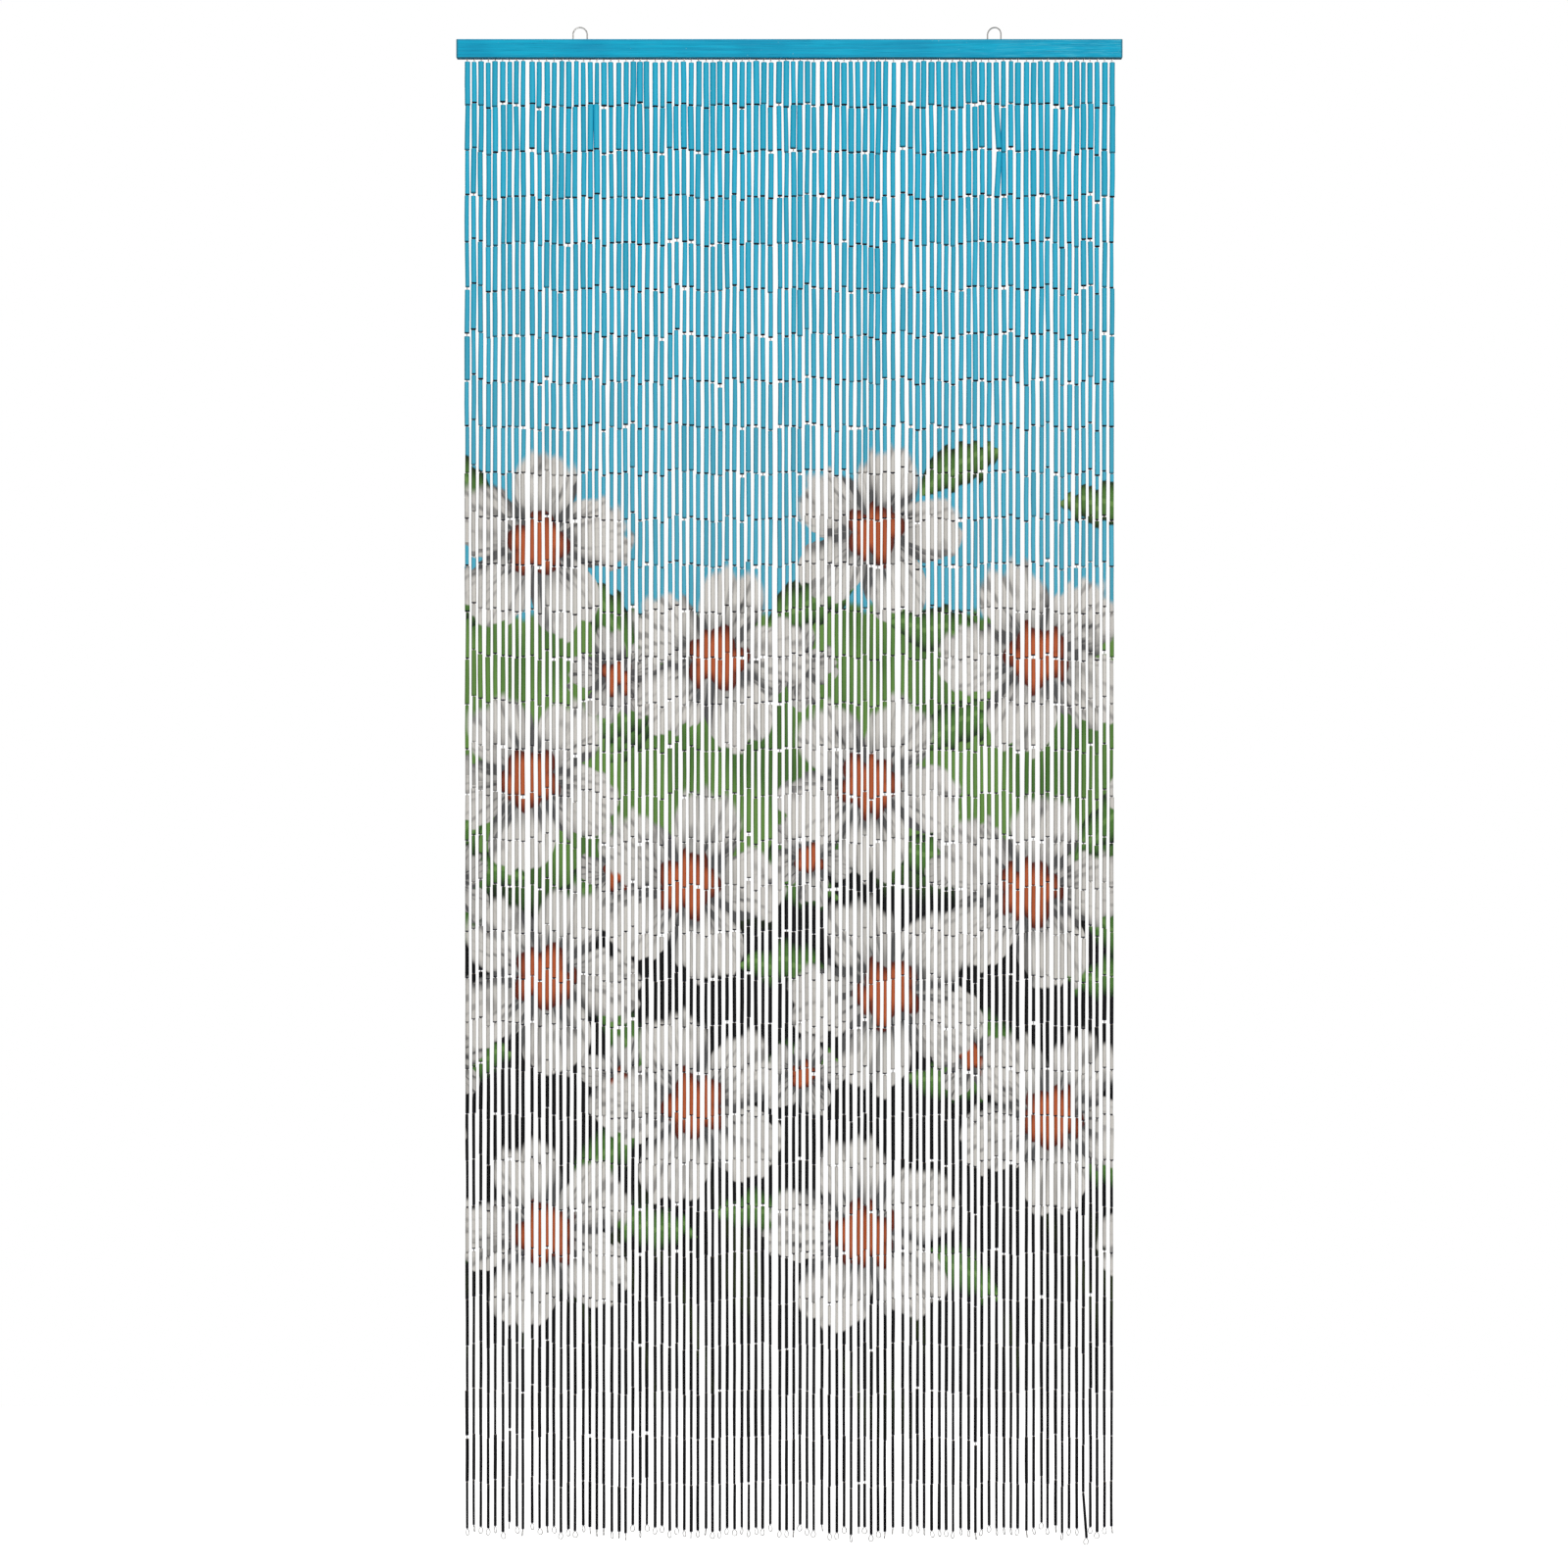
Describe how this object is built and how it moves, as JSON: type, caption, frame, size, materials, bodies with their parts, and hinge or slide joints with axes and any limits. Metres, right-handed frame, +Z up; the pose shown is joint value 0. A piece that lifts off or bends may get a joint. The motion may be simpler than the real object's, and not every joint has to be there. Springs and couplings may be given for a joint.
{
  "type": "bamboo door curtain on its wooden rail",
  "caption": "Door curtain of painted bamboo tubes strung on wire, hanging from a narrow wooden rail with two wire eyes, to screen an open doorway.",
  "frame": {"origin": "midway between the two points where the wire eyes bear on their hooks, inside the tops of their arches", "axes": "+Z up, +X along the rail to the right seen from the front, -Y towards the front"},
  "size_m": [0.9, 0.014, 2.0529],
  "materials": {
    "rail_paint": "blue paint with faint grain, satin",
    "steel_wire": "plain bright wire, slightly dulled",
    "strand_paint": "painted bamboo, matt to satin, with the painted picture's ground"
  },
  "bodies": {
    "root": {"rail": "rail_paint", "eye_left": "steel_wire", "eye_right": "steel_wire", "strands": "strand_paint"}
  },
  "joints": []
}
